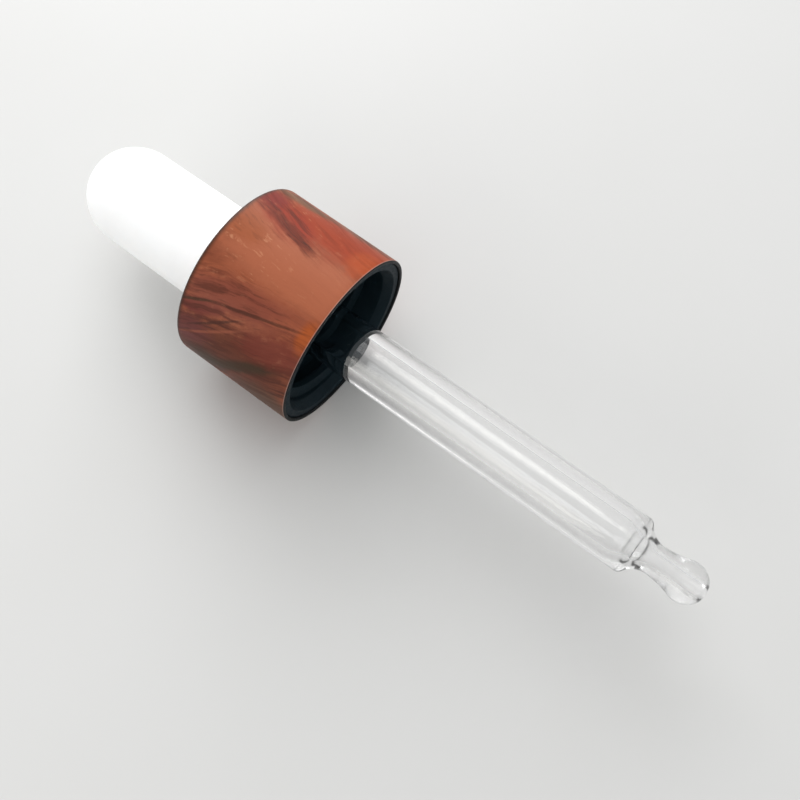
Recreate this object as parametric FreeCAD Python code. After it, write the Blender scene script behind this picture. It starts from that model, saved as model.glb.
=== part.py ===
import FreeCAD, Part
import math
import os

# Medicine dropper for a bottle with an 18 mm screw neck, lying on the side of its collar.
# Each piece is drawn as a ring section: r is the distance from the dropper's axis, and h the height along
# it, which is 0 at the collar's mouth, positive towards the pipette's tip and negative towards the teat.
# Every piece is then laid down, so that the axis points along +X and the collar rests on z = 0.
# The pieces fit around each other, so their sizes are added up from the glass tube outwards.

# Glass pipette
pipetteDiameter = 7.0
pipetteBore = 4.1
pipetteReach = 48.6         # from the collar's mouth to the tip
pipetteBeadWidth = 0.3      # flared rim of the upper end
pipetteBeadLength = 0.8
pipetteStandOff = 1.2       # how far the upper end stands above the grip
tipLength = 9.05            # from the shoulder to the end
tipShoulderRound = 0.8
tipNeckLength = 6.1         # from the narrowest place to the end
tipNeckDiameter = 3.6
tipBallDiameter = 4.9
tipOrifice = 1.5
tipLipRound = 0.25

# Teat
teatGripGap = 0.03          # radial, between the grip and the pipette
teatGripLength = 7.0        # stretch that holds the pipette
teatGripLeadIn = 0.4
teatHollowGap = 1.15        # radial, between the hollow and the pipette's flared rim
teatWall = 1.3
teatTaper = 0.24            # how much narrower the dome is than the foot
teatReach = 22.4            # from the collar's top to the end of the dome
teatBeadWidth = 0.3         # low shoulder that stands over the collar's top
teatBeadLength = 1.0
teatBeadLift = 0.05         # its clearance above the collar
flangeWidth = 1.4
flangeThickness = 1.5
flangeEdgeRound = 0.3

# Neck thread, right-handed, 16.1 mm at the crest and 18.3 mm at the root with these values
flangeThreadGap = 0.4       # radial, between the flange and the crest
threadDepth = 1.1
threadPitch = 3.0
threadStartDepth = 2.1      # from the cap's rim to the middle of the first turn
threadRelief = 4.1          # from the middle of the last turn to the flange
threadFootWidth = 1.7
threadCrestWidth = 0.8
threadFootSunk = 0.25       # how far the ridge is rooted in the wall

# Inner screw cap
neckDepth = 12.2            # from the cap's rim to the flange, which seals on the bottle's lip
teatHoleGap = 0.12          # radial, to the teat in the holes of the cap and the collar
capWall = 1.63
capWebThickness = 1.6
capWebCorner = 0.5
capLeadInWidth = 0.68
capLeadInDepth = 1.1
capRimRound = 0.15
capRimRecess = 0.25         # how far the rim stands behind the collar's mouth

# Collar, a thin drawn shell
collarPressGap = 0.02       # radial, to the cap inside it
collarWall = 0.45
collarEdgeRound = 0.65      # outer corner round the top
collarMouthRound = 0.15     # both edges of the mouth

# Radii that follow
pipetteRadius = pipetteDiameter / 2
pipetteBoreRadius = pipetteBore / 2
pipetteBeadRadius = pipetteRadius + pipetteBeadWidth
gripRadius = pipetteRadius + teatGripGap
hollowRadius = pipetteBeadRadius + teatHollowGap
teatRadius = hollowRadius + teatWall
teatDomeRadius = teatRadius - teatTaper / 2
teatHoleRadius = teatRadius + teatHoleGap
flangeRadius = teatRadius + flangeWidth
threadCrestRadius = flangeRadius + flangeThreadGap
threadRootRadius = threadCrestRadius + threadDepth
capRimInnerRadius = threadRootRadius + capLeadInWidth
capRadius = threadRootRadius + capWall
collarRadius = capRadius + collarPressGap + collarWall
innerCornerRound = max(collarEdgeRound - collarWall, 0.0)

# Heights that follow
capRim = -capRimRecess
sealFace = capRim - neckDepth
webUnderside = sealFace - flangeThickness
capTop = webUnderside - capWebThickness
collarTop = capTop - collarWall
teatEnd = collarTop - teatReach
gripTop = sealFace - teatGripLength
pipetteTop = gripTop - pipetteStandOff
pipetteBeadFoot = pipetteTop + pipetteBeadLength


def corner(r, h, roundness=0.0):
    """A corner of a ring section, and the radius that rounds it."""
    return FreeCAD.Vector(r, 0, h), roundness


def arcBetween(start, centre, end):
    """The short arc from start to end about centre."""
    radius = start.distanceToPoint(centre)
    way = (start - centre).normalize() + (end - centre).normalize()
    return Part.Arc(start, centre + way.normalize() * radius, end).toShape()


def roundedCorner(before, at, after, roundness):
    """Where a corner's round starts and ends, and its centre."""
    backward = (before - at).normalize()
    forward = (after - at).normalize()
    half = backward.getAngle(forward) / 2
    setback = roundness / math.tan(half)
    middle = (backward + forward).normalize()
    centre = at + middle * (roundness / math.sin(half))
    return at + backward * setback, centre, at + forward * setback


def sectionEdges(corners):
    """Lines and arcs of a closed section, given its corners in order."""
    stretches = []
    for index, (at, roundness) in enumerate(corners):
        before = corners[index - 1][0]
        after = corners[(index + 1) % len(corners)][0]
        if roundness > 0:
            stretches.append(roundedCorner(before, at, after, roundness))
        else:
            stretches.append((at, None, at))
    edges = []
    for index, (start, centre, end) in enumerate(stretches):
        if centre is not None:
            edges.append(arcBetween(start, centre, end))
        following = stretches[(index + 1) % len(stretches)][0]
        if end.distanceToPoint(following) > 1e-6:
            edges.append(Part.makeLine(end, following))
    return edges


def turned(edges):
    """The solid that a closed section sweeps around the axis."""
    face = Part.Face(Part.Wire(edges))
    return face.revolve(FreeCAD.Vector(0, 0, 0), FreeCAD.Vector(0, 0, 1), 360)


def turnedSection(corners):
    return turned(sectionEdges(corners))


def makeCollar():
    """Thin shell with a flat top, rounded into its side, and a hole for the teat."""
    inner = collarRadius - collarWall
    return turnedSection([
        corner(teatHoleRadius, collarTop),
        corner(collarRadius, collarTop, collarEdgeRound),
        corner(collarRadius, 0, collarMouthRound),
        corner(inner, 0, collarMouthRound),
        corner(inner, capTop, innerCornerRound),
        corner(teatHoleRadius, capTop),
    ])


def makeThreadRidge():
    """One helical ridge, rooted in the cap's wall, between the mouth and the flange."""
    climb = neckDepth - threadStartDepth - threadRelief
    first = capRim - threadStartDepth - climb
    helix = Part.makeHelix(threadPitch, climb, threadRootRadius)
    helix.translate(FreeCAD.Vector(0, 0, first))
    foot = threadRootRadius + threadFootSunk
    flank = (threadFootWidth - threadCrestWidth) / 2 / threadDepth
    footHalf = threadFootWidth / 2 + flank * threadFootSunk
    crestHalf = threadCrestWidth / 2
    outline = [
        FreeCAD.Vector(foot, 0, first - footHalf),
        FreeCAD.Vector(threadCrestRadius, 0, first - crestHalf),
        FreeCAD.Vector(threadCrestRadius, 0, first + crestHalf),
        FreeCAD.Vector(foot, 0, first + footHalf),
    ]
    profile = Part.makePolygon(outline + outline[:1])
    return Part.Wire(helix.Edges).makePipeShell([profile], True, True)


def makeInnerCap():
    """Screw cap with a web that holds the teat's flange, and a lead-in at its mouth."""
    wall = turnedSection([
        corner(teatHoleRadius, capTop),
        corner(capRadius, capTop, innerCornerRound),
        corner(capRadius, capRim, capRimRound),
        corner(capRimInnerRadius, capRim, capRimRound),
        corner(threadRootRadius, capRim - capLeadInDepth),
        corner(threadRootRadius, webUnderside, capWebCorner),
        corner(teatHoleRadius, webUnderside),
    ])
    return wall.fuse(makeThreadRidge()).removeSplitter()


def makeTeat():
    """Domed rubber teat with a flange below the cap's web and a grip around the pipette."""
    beadFoot = collarTop - teatBeadLift
    beadTop = beadFoot - teatBeadLength
    domeCentre = teatEnd + teatDomeRadius
    domeAt = FreeCAD.Vector(0, 0, domeCentre)
    outer = turnedSection([
        corner(0, domeCentre),
        corner(teatDomeRadius, domeCentre),
        corner(teatRadius, beadTop, teatBeadLength),
        corner(teatRadius + teatBeadWidth, beadTop + teatBeadLength / 2, teatBeadWidth),
        corner(teatRadius + teatBeadWidth, beadFoot),
        corner(teatRadius, beadFoot),
        corner(teatRadius, webUnderside),
        corner(flangeRadius, webUnderside, flangeEdgeRound),
        corner(flangeRadius, sealFace, flangeEdgeRound),
        corner(0, sealFace),
    ])
    hollow = turnedSection([
        corner(0, domeCentre),
        corner(teatDomeRadius - teatWall, domeCentre),
        corner(hollowRadius, pipetteBeadFoot),
        corner(gripRadius, gripTop),
        corner(gripRadius, sealFace - teatGripLeadIn),
        corner(gripRadius + teatGripLeadIn, sealFace),
        corner(0, sealFace),
    ])
    body = outer.fuse(Part.makeSphere(teatDomeRadius, domeAt))
    inside = hollow.fuse(Part.makeSphere(teatDomeRadius - teatWall, domeAt))
    return body.cut(inside).removeSplitter()


def makePipette():
    """Glass tube with a flared upper end, drawn down to a neck and a ball with a fine orifice."""
    shoulder = pipetteReach - tipLength
    neck = pipetteReach - tipNeckLength
    neckRadius = tipNeckDiameter / 2
    ballRadius = tipBallDiameter / 2
    orificeRadius = tipOrifice / 2

    # the shoulder and the neck are two arcs that touch
    drop = pipetteRadius - neckRadius
    run = neck - shoulder
    neckRound = (drop * drop + run * run) / (2 * drop) - tipShoulderRound
    tubeEdge = FreeCAD.Vector(pipetteRadius, 0, shoulder)
    shoulderCentre = FreeCAD.Vector(pipetteRadius - tipShoulderRound, 0, shoulder)
    neckCentre = FreeCAD.Vector(neckRadius + neckRound, 0, neck)
    neckEdge = FreeCAD.Vector(neckRadius, 0, neck)
    shoulderEdge = shoulderCentre + (neckCentre - shoulderCentre).normalize() * tipShoulderRound

    # so are the neck and the ball
    lipRadius = orificeRadius + tipLipRound
    ballCentre = FreeCAD.Vector(0, 0, pipetteReach - tipLipRound
                                - math.sqrt((ballRadius - tipLipRound) ** 2 - lipRadius ** 2))
    climb = ballCentre.z - neck
    swell = ballRadius - neckRadius
    ballRound = (neckRadius ** 2 + climb ** 2 - ballRadius ** 2) / (2 * swell)
    ballNeckCentre = FreeCAD.Vector(neckRadius + ballRound, 0, neck)
    ballEdge = ballCentre + (ballNeckCentre - ballCentre).normalize() * ballRadius

    # the lip of the orifice is fire-polished round
    lipCentre = FreeCAD.Vector(lipRadius, 0, pipetteReach - tipLipRound)
    lipOuter = ballCentre + (lipCentre - ballCentre).normalize() * ballRadius
    lipInner = FreeCAD.Vector(orificeRadius, 0, lipCentre.z)

    axisFoot = FreeCAD.Vector(0, 0, pipetteBeadFoot)
    axisEnd = FreeCAD.Vector(0, 0, lipCentre.z)
    tubeFoot = FreeCAD.Vector(pipetteRadius, 0, pipetteBeadFoot)
    outside = [
        Part.makeLine(tubeFoot, tubeEdge),
        arcBetween(tubeEdge, shoulderCentre, shoulderEdge),
        arcBetween(shoulderEdge, neckCentre, neckEdge),
        arcBetween(neckEdge, ballNeckCentre, ballEdge),
        arcBetween(ballEdge, ballCentre, lipOuter),
        arcBetween(lipOuter, lipCentre, lipInner),
        Part.makeLine(lipInner, axisEnd),
        Part.makeLine(axisEnd, axisFoot),
        Part.makeLine(axisFoot, tubeFoot),
    ]
    bead = turnedSection([
        corner(0, pipetteTop),
        corner(pipetteBeadRadius, pipetteTop, pipetteBeadWidth),
        corner(pipetteBeadRadius, pipetteBeadFoot - pipetteBeadWidth, pipetteBeadWidth / 2),
        corner(pipetteRadius, pipetteBeadFoot),
        corner(0, pipetteBeadFoot),
    ])
    cutPast = 1.0
    bore = turnedSection([
        corner(0, pipetteTop - cutPast),
        corner(pipetteBoreRadius, pipetteTop - cutPast),
        corner(pipetteBoreRadius, shoulder - pipetteBoreRadius / 2, pipetteBoreRadius),
        corner(orificeRadius, neck, pipetteBoreRadius),
        corner(orificeRadius, pipetteReach + cutPast),
        corner(0, pipetteReach + cutPast),
    ])
    return turned(outside).fuse(bead).cut(bore).removeSplitter()


def laidDown(shape):
    """Turns the axis from +Z to +X, centres the length on the origin and rests the collar on z = 0."""
    placed = shape.copy()
    placed.rotate(FreeCAD.Vector(0, 0, 0), FreeCAD.Vector(0, 1, 0), 90)
    placed.translate(FreeCAD.Vector(-(pipetteReach + teatEnd) / 2, 0, collarRadius))
    return placed


nodes = {
    "wood_grain_collar": makeCollar,
    "inner_cap": makeInnerCap,
    "teat": makeTeat,
    "glass_pipette": makePipette,
}

os.makedirs("parts", exist_ok=True)
for name, make in nodes.items():
    piece = laidDown(make())
    piece.exportStep(f"parts/{name}.step")
    box = piece.optimalBoundingBox(False)
    print(name, "solids", len(piece.Solids), "valid", piece.isValid(), "volume mm3", round(piece.Volume, 1))
    print("   x", round(box.XMin, 3), round(box.XMax, 3), "z", round(box.ZMin, 3), round(box.ZMax, 3))
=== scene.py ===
import bpy
import math
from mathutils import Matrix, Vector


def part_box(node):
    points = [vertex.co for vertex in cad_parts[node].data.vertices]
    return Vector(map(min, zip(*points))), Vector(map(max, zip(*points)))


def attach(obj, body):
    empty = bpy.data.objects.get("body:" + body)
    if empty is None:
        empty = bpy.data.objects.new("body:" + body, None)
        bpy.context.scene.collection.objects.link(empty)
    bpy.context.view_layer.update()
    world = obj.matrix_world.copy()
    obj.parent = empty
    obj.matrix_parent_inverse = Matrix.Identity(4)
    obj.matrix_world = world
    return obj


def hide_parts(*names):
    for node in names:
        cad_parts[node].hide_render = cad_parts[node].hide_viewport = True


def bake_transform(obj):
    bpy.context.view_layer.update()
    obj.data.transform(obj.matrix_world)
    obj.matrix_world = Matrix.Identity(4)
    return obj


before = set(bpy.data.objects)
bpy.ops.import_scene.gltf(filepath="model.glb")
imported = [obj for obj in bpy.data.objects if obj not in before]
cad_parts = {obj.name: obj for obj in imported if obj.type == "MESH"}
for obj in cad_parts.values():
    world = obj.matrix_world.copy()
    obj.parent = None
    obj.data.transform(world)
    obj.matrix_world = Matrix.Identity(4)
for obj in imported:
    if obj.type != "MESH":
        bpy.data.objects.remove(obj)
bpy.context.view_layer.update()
print("frame loaded")

mm = 0.001
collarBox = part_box("wood_grain_collar")
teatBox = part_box("teat")
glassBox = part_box("glass_pipette")
axisHeight = (collarBox[0].z + collarBox[1].z) / 2    # the dropper's axis runs along X at this height
mouthX = collarBox[1].x
topX = collarBox[0].x
sealX = teatBox[1].x
nearly = 0.002 * mm


def line(start, end, count):    # an outline is a list of (x, radius) pairs, turned round the axis later
    steps = [step / count for step in range(1, count + 1)]
    return [(start[0] + (end[0] - start[0]) * t, start[1] + (end[1] - start[1]) * t) for t in steps]


def arc(start, centre, end, count):    # the short way round the centre
    radius = math.dist(start, centre)
    first = math.atan2(start[1] - centre[1], start[0] - centre[0])
    last = math.atan2(end[1] - centre[1], end[0] - centre[0])
    turn = (last - first + math.pi) % (2 * math.pi) - math.pi
    angles = [first + turn * step / count for step in range(1, count + 1)]
    return [(centre[0] + radius * math.cos(a), centre[1] + radius * math.sin(a)) for a in angles]


def ease(start, end, count):    # leaves and arrives along the axis
    shares = [0.5 - 0.5 * math.cos(math.pi * step / count) for step in range(1, count + 1)]
    along = [step / count for step in range(1, count + 1)]
    return [(start[0] + (end[0] - start[0]) * t, start[1] + (end[1] - start[1]) * s)
            for t, s in zip(along, shares)]


def turnOutline(name, outline, sides):    # a circle, extruded from ring to ring
    bpy.ops.object.select_all(action="DESELECT")
    x, radius = outline[0]
    bpy.ops.mesh.primitive_circle_add(vertices=sides, radius=radius, location=(x, 0, axisHeight),
                                      rotation=(0, math.pi / 2, 0))
    piece = bpy.context.object
    piece.name = name
    bpy.ops.object.transform_apply(location=True, rotation=True, scale=True)
    bpy.ops.object.mode_set(mode="EDIT")
    bpy.ops.mesh.select_all(action="SELECT")
    for nextX, nextRadius in outline[1:]:
        share = nextRadius / radius
        bpy.ops.mesh.extrude_edges_move(TRANSFORM_OT_translate={"value": (nextX - x, 0, 0)})
        bpy.ops.transform.resize(value=(1, share, share), center_override=(nextX, 0, axisHeight))
        x, radius = nextX, nextRadius
    weldPiece()
    return piece


def weldPiece():    # closes poles and the last ring onto the first
    bpy.ops.mesh.select_all(action="SELECT")
    bpy.ops.mesh.remove_doubles(threshold=nearly)
    bpy.ops.mesh.normals_make_consistent(inside=False)


def roundRing(piece, x, radius, width, segments):    # bevels the ring of edges at that place
    bpy.ops.mesh.select_all(action="DESELECT")
    bpy.ops.object.mode_set(mode="OBJECT")
    for vertex in piece.data.vertices:
        reach = math.hypot(vertex.co.y, vertex.co.z - axisHeight)
        vertex.select = abs(vertex.co.x - x) < nearly and abs(reach - radius) < nearly
    bpy.ops.object.mode_set(mode="EDIT")
    bpy.ops.mesh.select_mode(type="VERT")
    bpy.ops.mesh.bevel(offset=width, segments=segments, affect="EDGES")


def finishPiece(piece, materials, node):
    smoothUpTo = math.radians(35)
    bpy.ops.object.mode_set(mode="OBJECT")
    bpy.ops.object.shade_smooth_by_angle(angle=smoothUpTo)
    for material in materials:
        piece.data.materials.append(material)
    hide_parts(node)
    print(piece.name, "has", len(piece.data.polygons), "faces")


def startMaterial(name):
    made = bpy.data.materials.new(name)
    made.use_nodes = True
    return made, made.node_tree, made.node_tree.nodes["Principled BSDF"]


def add(tree, kind, values=None, **settings):
    made = tree.nodes.new(kind)
    for key, value in settings.items():
        setattr(made, key, value)
    setSockets(made, values or {})
    return made


def setSockets(node, values):
    for key, value in values.items():
        node.inputs[key].default_value = value


def math2(tree, operation, first, second=0.0, third=0.0):    # fed by sockets or plain numbers
    made = tree.nodes.new("ShaderNodeMath")
    made.operation = operation
    for index, value in enumerate((first, second, third)):
        if isinstance(value, (int, float)):
            made.inputs[index].default_value = value
        else:
            tree.links.new(value, made.inputs[index])
    return made.outputs[0]


def centred(tree, value, spread):    # 0 to 1 becomes half the spread either way
    return math2(tree, "MULTIPLY_ADD", value, spread, -spread / 2)


def fade(tree, value, low, high, atLow=0.0, atHigh=1.0):    # smooth step between two levels
    made = add(tree, "ShaderNodeMapRange", {1: low, 2: high, 3: atLow, 4: atHigh},
               interpolation_type="SMOOTHSTEP")
    tree.links.new(value, made.inputs[0])
    return made.outputs[0]


def noise(tree, vector, scale, detail=4.0, roughness=0.5):
    made = add(tree, "ShaderNodeTexNoise", {"Scale": scale, "Detail": detail, "Roughness": roughness})
    tree.links.new(vector, made.inputs["Vector"])
    return made.outputs["Fac"]


def blendColour(tree, share, first, second):    # first and second are colours or sockets
    made = add(tree, "ShaderNodeMix", data_type="RGBA")
    tree.links.new(share, made.inputs[0])
    for index, value in ((6, first), (7, second)):
        if isinstance(value, tuple):
            made.inputs[index].default_value = (*value, 1)
        else:
            tree.links.new(value, made.inputs[index])
    return made.outputs[2]


def millimetres(tree):    # object coordinates in millimetres, from the axis
    coords = add(tree, "ShaderNodeTexCoord")
    mapping = add(tree, "ShaderNodeMapping", {"Location": (0, 0, -axisHeight / mm),
                                              "Scale": (1 / mm,) * 3})
    tree.links.new(coords.outputs["Object"], mapping.inputs["Vector"])
    return mapping.outputs["Vector"]


def splitPlace(tree, place):
    parts = add(tree, "ShaderNodeSeparateXYZ")
    tree.links.new(place, parts.inputs[0])
    return parts.outputs["X"], parts.outputs["Y"], parts.outputs["Z"]


def combine(tree, x, y, z):
    made = add(tree, "ShaderNodeCombineXYZ")
    for index, value in enumerate((x, y, z)):
        tree.links.new(value, made.inputs[index])
    return made.outputs[0]


def colourInto(tree, shader, share, tones):
    tree.links.new(blendColour(tree, share, *tones), shader.inputs["Base Color"])


def roughInto(tree, shader, cloud, span):    # the roughness drifts over the span
    tree.links.new(fade(tree, cloud, 0.3, 0.7, *span), shader.inputs["Roughness"])


def bumpInto(tree, shader, height, strength, distance):
    bump = add(tree, "ShaderNodeBump", {"Strength": strength, "Distance": distance})
    tree.links.new(height, bump.inputs["Height"])
    tree.links.new(bump.outputs["Normal"], shader.inputs["Normal"])


def fromHex(code):    # a screen colour as linear red, green and blue
    parts = [int(code[i:i + 2], 16) / 255 for i in (0, 2, 4)]
    return tuple(p / 12.92 if p <= 0.04045 else ((p + 0.055) / 1.055) ** 2.4 for p in parts)


teat = {
    "domeDiameter": 12.26 * mm,
    "footDiameter": 12.5 * mm,
    "wall": 1.3 * mm,
    "shoulderWidth": 0.3 * mm,
    "shoulderLength": 1.0 * mm,
    "shoulderLift": 0.05 * mm,
    "flangeDiameter": 15.3 * mm,
    "flangeThickness": 1.5 * mm,
    "flangeRound": 0.3 * mm,
    "gripDiameter": 7.06 * mm,
    "gripLength": 7.0 * mm,
    "gripFunnel": 0.4 * mm,
    "funnelLength": 0.4 * mm,    # clears the flared rim of the glass
    "pressedFrom": 1.5 * mm,     # above the collar
    "pressedTo": 7.0 * mm,       # from the dome's end
    "sides": 96,
    "domeRings": 24,
    "bodyRings": 28,
    "hollowRings": 20,
    "tones": (fromHex("f4f3f2"), fromHex("fafaf9")),
    "roughness": (0.42, 0.54),
    "milkiness": 0.8,
    "milkDepth": 2.4 * mm,
    "lightBending": 1.41,
}


def siliconeMaterial():
    made, tree, shader = startMaterial("whiteSilicone")
    place = millimetres(tree)
    colourInto(tree, shader, noise(tree, place, 0.35, 3), teat["tones"])
    roughInto(tree, shader, noise(tree, place, 1.6, 5), teat["roughness"])
    setSockets(shader, {"Subsurface Weight": teat["milkiness"], "Subsurface Scale": teat["milkDepth"],
                        "Subsurface Radius": (1.0, 0.95, 0.9), "IOR": teat["lightBending"]})
    bumpInto(tree, shader, noise(tree, place, 9, 4), 0.06, 0.05 * mm)
    return made


def makeTeat():
    pole = nearly / 8
    domeRadius = teat["domeDiameter"] / 2
    footRadius = teat["footDiameter"] / 2
    hollowRadius = domeRadius - teat["wall"]
    flangeRadius = teat["flangeDiameter"] / 2
    gripRadius = teat["gripDiameter"] / 2
    domeX = teatBox[0].x + domeRadius
    liftX = topX - teat["shoulderLift"]
    shoulderX = liftX - teat["shoulderLength"]
    shoulderRadius = footRadius + teat["shoulderWidth"]
    flangeX = sealX - teat["flangeThickness"]
    gripX = sealX - teat["gripLength"]
    hollowFootX = gripX - teat["funnelLength"]
    outline = [(teatBox[0].x, pole)]
    outline += arc(outline[-1], (domeX, 0), (domeX, domeRadius), teat["domeRings"])
    outline += line(outline[-1], (shoulderX - teat["shoulderLength"], footRadius), teat["bodyRings"])
    outline += ease(outline[-1], (shoulderX + teat["shoulderLength"] / 2, shoulderRadius), 8)
    outline += line(outline[-1], (liftX, shoulderRadius), 1)
    outline += line(outline[-1], (liftX, footRadius), 1)
    outline += line(outline[-1], (flangeX, footRadius), 2)
    outline += line(outline[-1], (flangeX, flangeRadius), 1)
    outline += line(outline[-1], (sealX, flangeRadius), 1)
    outline += line(outline[-1], (sealX, gripRadius + teat["gripFunnel"]), 1)
    outline += line(outline[-1], (sealX - teat["gripFunnel"], gripRadius), 1)
    outline += line(outline[-1], (gripX, gripRadius), 6)
    outline += line(outline[-1], (hollowFootX, footRadius - teat["wall"]), 3)
    outline += line(outline[-1], (domeX, hollowRadius), teat["hollowRings"])
    outline += arc(outline[-1], (domeX, 0), (domeX - hollowRadius, 0), 16)[:-1]
    outline += [(domeX - hollowRadius, pole)]
    piece = turnOutline("silicone_teat", outline, teat["sides"])
    roundRing(piece, flangeX, flangeRadius, teat["flangeRound"], 4)
    roundRing(piece, sealX, flangeRadius, teat["flangeRound"], 4)
    roundRing(piece, liftX, shoulderRadius, teat["flangeRound"] / 3, 3)
    finishPiece(piece, [siliconeMaterial()], "teat")
    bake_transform(piece)


makeTeat()
print("teat made")


collar = {
    "wall": 0.45 * mm,
    "holeDiameter": 12.74 * mm,
    "topRound": 0.65 * mm,
    "mouthRound": 0.15 * mm,
    "printOver": 0.03 * mm,    # how far the print runs over the rounding
    "sides": 128,
    "rings": 16,
    "fanFrom": math.radians(-8),    # the streaks run together towards this side of the mouth
    "fanPull": 0.57,
    "wander": 0.16,
    "streakWidth": 0.55,
    "streakLength": 7.0,
    "ragged": 0.7,     # how far streaks fray a figure's edge
    "mottled": 0.5,    # how far blotches do
    "light": fromHex("945135"),
    "middle": fromHex("7a3e28"),
    "dark": fromHex("401a0e"),
    "vein": fromHex("2a170b"),
    "fleck": fromHex("b87f5e"),
    "edge": fromHex("2c180c"),
    # painted highlight along the mouth's rounded edge
    "rim": fromHex("c0a196"),
    "gloss": 0.15,
    "roughness": (0.52, 0.42),
    "cutTones": (fromHex("111415"), fromHex("181b1c")),
    "cutRoughness": (0.45, 0.6),
    # side in degrees from the top, share of the way to the mouth, width in degrees, length,
    # lean in degrees, colour, strength and how streaky it is; most are print, a few are painted shade
    # or sheen
    "figuresAndPaintedLight": {
        "broadDark": (-74, 0.4, 36, 0.95, 30, "532616", 0.95, 0.9),
        "topLeftPatch": (-68, 0.1, 15, 0.26, 30, "5c2a27", 0.85, 0.6),
        "farLeftStain": (-86, 0.28, 12, 0.22, 20, "35261a", 0.85, 0.7),
        "longDarkStreak": (-70, 0.58, 7, 0.5, 58, "33210e", 0.95, 0.9),
        "mouthRedPatch": (-45, 0.8, 14, 0.36, 20, "652618", 0.85, 0.35),
        "topKnot": (-47, 0.18, 7, 0.22, 30, "602420", 0.85, 0.7),
        "slantedBrown": (-32, 0.38, 15, 0.62, 18, "72382a", 0.85, 0.85),
        # a painted sheen: the pale, unstreaked band along the top, where the surface faces the light
        "paintedSheenMiddle": (-1, 0.62, 22, 0.85, 0, "95543a", 0.9, 0.06),
        "paleTop": (7, 0.14, 12, 0.22, 0, "884728", 0.8, 0.45),
        "orangeCheek": (40, 0.66, 25, 0.66, 0, "873013", 0.95, 0.3),
        "redStreaks": (27, 0.3, 14, 0.3, -18, "802610", 0.85, 0.9),
        "redTop": (35, 0.07, 12, 0.16, 0, "70231b", 0.95, 0.45),
        "thinRed": (21, 0.36, 5, 0.32, -24, "5e1f08", 0.9, 1.0),
        "olivePatch": (53, 0.24, 8, 0.3, 6, "57412a", 0.75, 0.7),
        # painted shade down the right side, broken into darker grain streaks
        "paintedRightShade": (60, 0.7, 8, 0.34, 0, "5e3c28", 0.7, 0.7),
        # painted shade along the underside, with grain streaks through it
        "paintedUndersideShade": (-92, 0.85, 24, 0.4, 10, "47301f", 0.9, 0.7),
        "orangeEdge": (30, 0.92, 16, 0.12, 0, "97401a", 0.8, 0.2),
        "orangeDab": (-27, 0.96, 12, 0.08, 0, "994818", 0.75, 0.5),
        "fineLineMiddle": (-33, 0.58, 1.3, 0.44, 22, "371a0c", 0.7, 0.6),
        "fineLineLeft": (-51, 0.32, 1.4, 0.26, 62, "35180e", 0.7, 0.6),
        "salmonLine": (-59, 0.3, 1.5, 0.36, 60, "8a4a34", 0.6, 0.6),
        "fineLineTop": (-46, 0.1, 1.3, 0.2, 40, "342410", 0.8, 0.6),
    },
}


def placeOnWrap(tree, place):    # angle round the axis and share of the way to the mouth
    x, y, z = splitPlace(tree, place)
    side = math2(tree, "ARCTAN2", y, z)
    along = add(tree, "ShaderNodeMapRange", {1: topX / mm, 2: mouthX / mm, 3: 0, 4: 1})
    tree.links.new(x, along.inputs[0])
    return side, along.outputs[0]


def fannedPlace(tree, place, side, along):    # drawn out along the streaks, which fan from the mouth
    turned = math2(tree, "SUBTRACT", side, collar["fanFrom"])
    pull = math2(tree, "MULTIPLY_ADD", along, -collar["fanPull"], collar["fanPull"])
    bend = math2(tree, "MULTIPLY", pull, math2(tree, "SINE", turned))
    wander = centred(tree, noise(tree, place, 0.15, 2), collar["wander"])
    warped = math2(tree, "ADD", math2(tree, "SUBTRACT", turned, bend), wander)
    across = (collarBox[1].z - axisHeight) / mm / collar["streakWidth"]
    lengthwise = math2(tree, "MULTIPLY", along, (mouthX - topX) / mm / collar["streakLength"])
    return combine(tree, math2(tree, "MULTIPLY", math2(tree, "COSINE", warped), across), lengthwise,
                   math2(tree, "MULTIPLY", math2(tree, "SINE", warped), across))


def figureShare(tree, side, along, figure, streak, blotch):    # 1 in the figure's middle, 0 outside it
    degrees, share, width, length, lean = figure[:5]
    middle = math2(tree, "MULTIPLY_ADD", along, math.radians(lean),
                   math.radians(degrees - lean * share))
    awaySide = math2(tree, "DIVIDE", math2(tree, "SUBTRACT", side, middle), math.radians(width))
    awayAlong = math2(tree, "DIVIDE", math2(tree, "SUBTRACT", along, share), length)
    away = math2(tree, "SQRT", math2(tree, "ADD", math2(tree, "POWER", awaySide, 2.0),
                                     math2(tree, "POWER", awayAlong, 2.0)))
    away = math2(tree, "ADD", away, centred(tree, streak, collar["ragged"]))
    away = math2(tree, "ADD", away, centred(tree, blotch, collar["mottled"]))
    return fade(tree, away, 1.15, 0.4)


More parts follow.
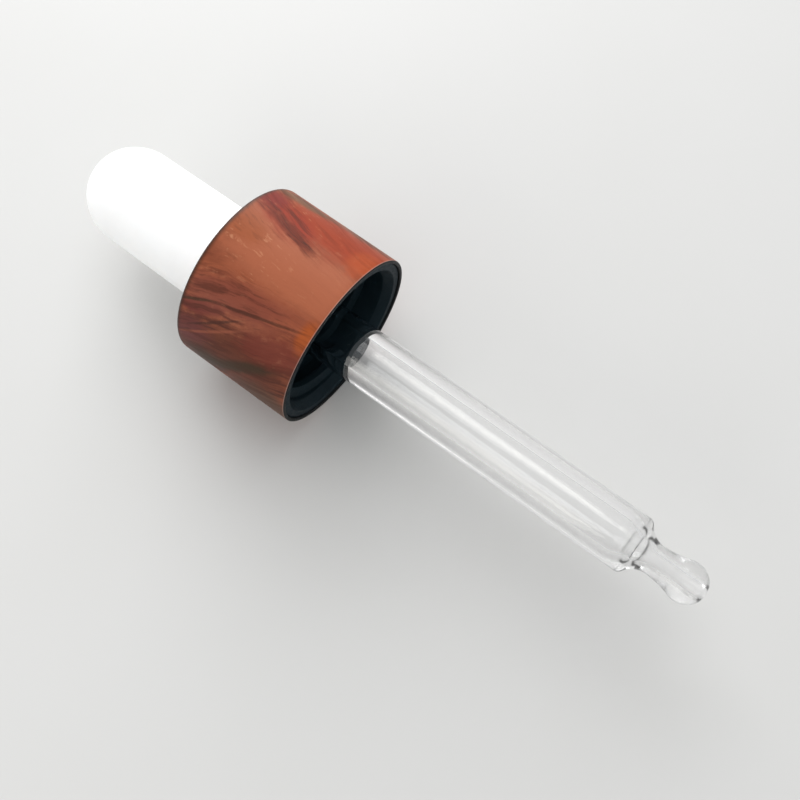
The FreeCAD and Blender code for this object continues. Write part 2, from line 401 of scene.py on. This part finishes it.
def woodMaterial():
    made, tree, shader = startMaterial("printedWood")
    place = millimetres(tree)
    side, along = placeOnWrap(tree, place)
    grainPlace = fannedPlace(tree, place, side, along)
    broad = noise(tree, grainPlace, 0.22, 3)
    streak = noise(tree, grainPlace, 1.0, 5, 0.62)
    fine = noise(tree, grainPlace, 2.6, 4, 0.6)
    blotch = noise(tree, place, 0.9, 4, 0.6)
    colour = blendColour(tree, fade(tree, broad, 0.35, 0.68), collar["middle"], collar["light"])
    streaks = 0.5
    for figure in collar["figuresAndPaintedLight"].values():
        code, strength, streaky = figure[5:]
        inside = figureShare(tree, side, along, figure, streak, blotch)
        colour = blendColour(tree, math2(tree, "MULTIPLY", inside, strength), colour, fromHex(code))
        change = math2(tree, "MULTIPLY", inside, math2(tree, "SUBTRACT", streaky, streaks))
        streaks = math2(tree, "ADD", streaks, change)
    # dark streaks and veins only where the figures are streaky, pale flecks where they aren't
    dark = math2(tree, "MULTIPLY", fade(tree, streak, 0.54, 0.36), streaks)
    colour = blendColour(tree, math2(tree, "MULTIPLY", dark, 0.75), colour, collar["dark"])
    vein = math2(tree, "MULTIPLY", fade(tree, fine, 0.44, 0.32), streaks)
    colour = blendColour(tree, math2(tree, "MULTIPLY", vein, 0.55), colour, collar["vein"])
    fleck = math2(tree, "MULTIPLY", fade(tree, blotch, 0.52, 0.66),
                  fade(tree, along, 0.75, 0.2, 0.2, 0.8))
    plain = math2(tree, "MULTIPLY", fade(tree, fine, 0.5, 0.62),
                  fade(tree, streaks, 0.8, 0.1, 0.1, 0.7))
    colour = blendColour(tree, math2(tree, "MULTIPLY", fleck, plain), colour, collar["fleck"])
    # the thin dark line round the top, and a painted highlight as the pale line at the mouth's rounded
    # edge
    colour = blendColour(tree, fade(tree, along, 0.06, 0.015, 0, 0.9), colour, collar["edge"])
    colour = blendColour(tree, fade(tree, along, 0.985, 0.998, 0, 0.6), colour, collar["rim"])
    tree.links.new(colour, shader.inputs["Base Color"])
    roughInto(tree, shader, streak, collar["roughness"])
    setSockets(shader, {"Specular IOR Level": collar["gloss"]})
    bumpInto(tree, shader, streak, 0.12, 0.06 * mm)
    return made


def cutEdgeMaterial():
    made, tree, shader = startMaterial("darkCutEdge")
    place = millimetres(tree)
    colourInto(tree, shader, noise(tree, place, 1.3, 4), collar["cutTones"])
    roughInto(tree, shader, noise(tree, place, 4, 3), collar["cutRoughness"])
    setSockets(shader, {"Specular IOR Level": collar["gloss"]})
    return made


def makeCollar():
    outer = (collarBox[1].z - collarBox[0].z) / 2
    inner = outer - collar["wall"]
    hole = collar["holeDiameter"] / 2
    insideX = topX + collar["wall"]
    outline = [(topX, hole), (topX, (hole + outer) / 2), (topX, outer)]
    outline += line(outline[-1], (mouthX, outer), collar["rings"])
    outline += line(outline[-1], (mouthX, inner), 1)
    outline += line(outline[-1], (insideX, inner), collar["rings"])
    outline += [(insideX, hole), (topX, hole)]
    piece = turnOutline("wood_collar", outline, collar["sides"])
    roundRing(piece, topX, outer, collar["topRound"], 8)
    roundRing(piece, mouthX, outer, collar["mouthRound"], 4)
    roundRing(piece, mouthX, inner, collar["mouthRound"], 4)
    roundRing(piece, insideX, inner, collar["topRound"] - collar["wall"], 3)
    finishPiece(piece, [woodMaterial(), cutEdgeMaterial()], "wood_grain_collar")
    showCutEdge(piece, inner, outer - collar["printOver"])
    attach(piece, "cap")


def showCutEdge(piece, inner, printRadius):    # inside and mouth get the second material
    for face in piece.data.polygons:
        reach = math.hypot(face.center.y, face.center.z - axisHeight)
        isInside = reach < inner + nearly and face.center.x > topX + nearly
        isRounding = face.center.x > mouthX - collar["mouthRound"] and reach < printRadius
        if isInside or isRounding or face.center.x > mouthX - nearly:
            face.material_index = 1


makeCollar()
print("collar made")


screwCap = {
    "tones": (fromHex("142026"), fromHex("18262c")),
    "roughness": (0.45, 0.6),
    "gloss": 0.07,
}


def plasticMaterial():
    made, tree, shader = startMaterial("blackPlastic")
    place = millimetres(tree)
    colourInto(tree, shader, noise(tree, place, 0.8, 3), screwCap["tones"])
    roughInto(tree, shader, noise(tree, place, 2.4, 5), screwCap["roughness"])
    setSockets(shader, {"Specular IOR Level": screwCap["gloss"]})
    bumpInto(tree, shader, noise(tree, place, 12, 3), 0.05, 0.04 * mm)
    return made


def dressCap():    # the cap's own shape comes from the frame
    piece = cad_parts["inner_cap"]
    piece.data.materials.clear()
    piece.data.materials.append(plasticMaterial())


dressCap()
print("cap dressed")


glass = {
    "boreDiameter": 4.1 * mm,
    "beadWidth": 0.3 * mm,
    "beadLength": 0.8 * mm,
    "tubeDiameter": 7.0 * mm,
    "tipLength": 9.05 * mm,        # from the shoulder to the end
    "shoulderRound": 0.8 * mm,
    "neckLength": 6.1 * mm,        # from the narrowest place to the end
    "neckDiameter": 3.6 * mm,
    "ballDiameter": 4.9 * mm,
    "orifice": 1.5 * mm,
    "lipRound": 0.25 * mm,
    "sides": 160,
    "tubeRings": 40,
    "tones": (fromHex("fafafa"), fromHex("ffffff")),
    "lightBending": 1.55,
    "gloss": 0.15,
    "handledRough": 0.03,
    "tipRough": 0.18,
    "clouding": 2.4 * mm,          # before the shoulder, where the drawn glass starts to get duller
}


def glassMaterial():
    made, tree, shader = startMaterial("clearGlass")
    place = millimetres(tree)
    colourInto(tree, shader, noise(tree, place, 0.5, 3), glass["tones"])
    setSockets(shader, {"Transmission Weight": 1, "IOR": glass["lightBending"],
                        "Specular IOR Level": glass["gloss"]})
    x = splitPlace(tree, place)[0]
    shoulder = (glassBox[1].x - glass["tipLength"]) / mm
    clouding = glass["clouding"] / mm
    drawn = fade(tree, x, shoulder - clouding, shoulder + clouding / 3, 0, glass["tipRough"])
    handled = fade(tree, noise(tree, place, 1.2, 4), 0.45, 0.75, 0, glass["handledRough"])
    tree.links.new(math2(tree, "ADD", drawn, handled), shader.inputs["Roughness"])
    bumpInto(tree, shader, noise(tree, place, 0.25, 2), 0.1, 0.2 * mm)
    return made


def makePipette():
    tube = glass["tubeDiameter"] / 2
    bore = glass["boreDiameter"] / 2
    topEndX = glassBox[0].x
    tipX = glassBox[1].x
    shoulderX = tipX - glass["tipLength"]
    neckX = tipX - glass["neckLength"]
    neck = glass["neckDiameter"] / 2
    ball = glass["ballDiameter"] / 2
    orifice = glass["orifice"] / 2
    shoulderRound = glass["shoulderRound"]
    lipRound = glass["lipRound"]

    # the shoulder's arc meets the hollow of the neck
    drop = tube - neck
    run = neckX - shoulderX
    neckRound = (drop * drop + run * run) / (2 * drop) - shoulderRound
    shoulderCentre = (shoulderX, tube - shoulderRound)
    neckCentre = (neckX, neck + neckRound)
    reach = math.dist(shoulderCentre, neckCentre)
    shoulderEnd = tuple(a + (b - a) * shoulderRound / reach for a, b in zip(shoulderCentre, neckCentre))

    # the neck's hollow meets the ball, and the ball meets the rounded lip
    lip = orifice + lipRound
    ballX = tipX - lipRound - math.sqrt((ball - lipRound) ** 2 - lip ** 2)
    climb = ballX - neckX
    ballRound = (neck ** 2 + climb ** 2 - ball ** 2) / (2 * (ball - neck))
    ballNeckCentre = (neckX, neck + ballRound)
    reach = math.dist((ballX, 0), ballNeckCentre)
    ballStart = (ballX + (neckX - ballX) * ball / reach, ballNeckCentre[1] * ball / reach)
    lipCentre = (tipX - lipRound, lip)
    reach = math.dist((ballX, 0), lipCentre)
    lipStart = (ballX + (lipCentre[0] - ballX) * ball / reach, lip * ball / reach)

    bead = tube + glass["beadWidth"]
    beadX = topEndX + glass["beadWidth"]
    outline = [(topEndX, bore + (tube - bore) / 2)]
    outline += [(topEndX, bead - glass["beadWidth"])]
    outline += arc(outline[-1], (beadX, tube), (beadX, bead), 6)
    outline += ease(outline[-1], (topEndX + glass["beadLength"], tube), 6)
    outline += line(outline[-1], (shoulderX, tube), glass["tubeRings"])
    outline += arc(outline[-1], shoulderCentre, shoulderEnd, 10)
    outline += arc(outline[-1], neckCentre, (neckX, neck), 18)
    outline += arc(outline[-1], ballNeckCentre, ballStart, 14)
    outline += arc(outline[-1], (ballX, 0), lipStart, 24)
    outline += arc(outline[-1], lipCentre, (lipCentre[0], orifice), 10)
    outline += line(outline[-1], (neckX, orifice), 6)
    outline += ease(outline[-1], (shoulderX - bore, bore), 24)
    outline += line(outline[-1], (topEndX + 2 * nearly, bore), glass["tubeRings"])
    outline += [outline[0]]
    piece = turnOutline("glass_tube", outline, glass["sides"])
    finishPiece(piece, [glassMaterial()], "glass_pipette")
    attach(piece, "pipette")


makePipette()
print("pipette made")


view = {
    "azimuth": math.radians(36.7),
    "elevation": math.radians(71.15),
    "distance": 111.21 * mm,
    "aim": (3.83 * mm, -1.22 * mm, 9.09 * mm),
    "lens": 42.75,
    "sensor": 36,
    "nearest": 0.005,
}

studio = {
    "floorSize": 3.0,
    "floorTones": (fromHex("c2c2c1"), fromHex("bebebc")),
    "floorRough": 0.6,
    "world": (0.98, 0.985, 1.0),
    "worldStrength": 0.74,
}

lamps = {    # place, size, power, colour and whether it shows in mirror reflections
    "keyLight": ((-0.12, 0.14, 0.42), 0.4, 1.0, (1, 1, 1), False),    # it would bleach the tube
    "windowLight": ((-0.32, 0.3, 0.2), 0.36, 2.0, (1, 1, 1), True),
    "fillLight": ((-0.08, -0.36, 0.15), 0.26, 0.42, (1.0, 0.985, 0.92), True),
}


def makeFloor():
    bpy.ops.object.select_all(action="DESELECT")
    bpy.ops.mesh.primitive_plane_add(size=studio["floorSize"])
    floor = bpy.context.object
    floor.name = "floor"
    made, tree, shader = startMaterial("paleTable")
    coords = add(tree, "ShaderNodeTexCoord")
    colourInto(tree, shader, noise(tree, coords.outputs["Object"], 30, 4), studio["floorTones"])
    setSockets(shader, {"Roughness": studio["floorRough"]})
    floor.data.materials.append(made)


def addAreaLight(name, place, size, power, colour, mirrored):
    bpy.ops.object.light_add(type="AREA", location=place)
    light = bpy.context.object
    light.name = name
    light.data.size = size
    light.data.energy = power
    light.data.color = colour
    light.visible_glossy = mirrored
    light.rotation_mode = "QUATERNION"
    light.rotation_quaternion = light.location.to_track_quat("Z", "Y")    # faces the dropper


def makeCamera():
    level = math.cos(view["elevation"])
    back = (math.sin(view["azimuth"]) * level, -math.cos(view["azimuth"]) * level,
            math.sin(view["elevation"]))
    place = [a + b * view["distance"] for a, b in zip(view["aim"], back)]
    bpy.ops.object.camera_add(location=place,
                              rotation=(math.pi / 2 - view["elevation"], 0, view["azimuth"]))
    camera = bpy.context.object
    camera.data.sensor_width = view["sensor"]
    camera.data.lens = view["lens"]
    camera.data.clip_start = view["nearest"]
    bpy.context.scene.camera = camera


def makeWorld():
    world = bpy.data.worlds.new("studio")
    bpy.context.scene.world = world
    world.use_nodes = True
    setSockets(world.node_tree.nodes["Background"], {"Color": (*studio["world"], 1),
                                                     "Strength": studio["worldStrength"]})


makeFloor()
for name, lamp in lamps.items():
    addAreaLight(name, *lamp)
makeCamera()
makeWorld()
bpy.context.scene.view_settings.view_transform = "Standard"
print("studio made")
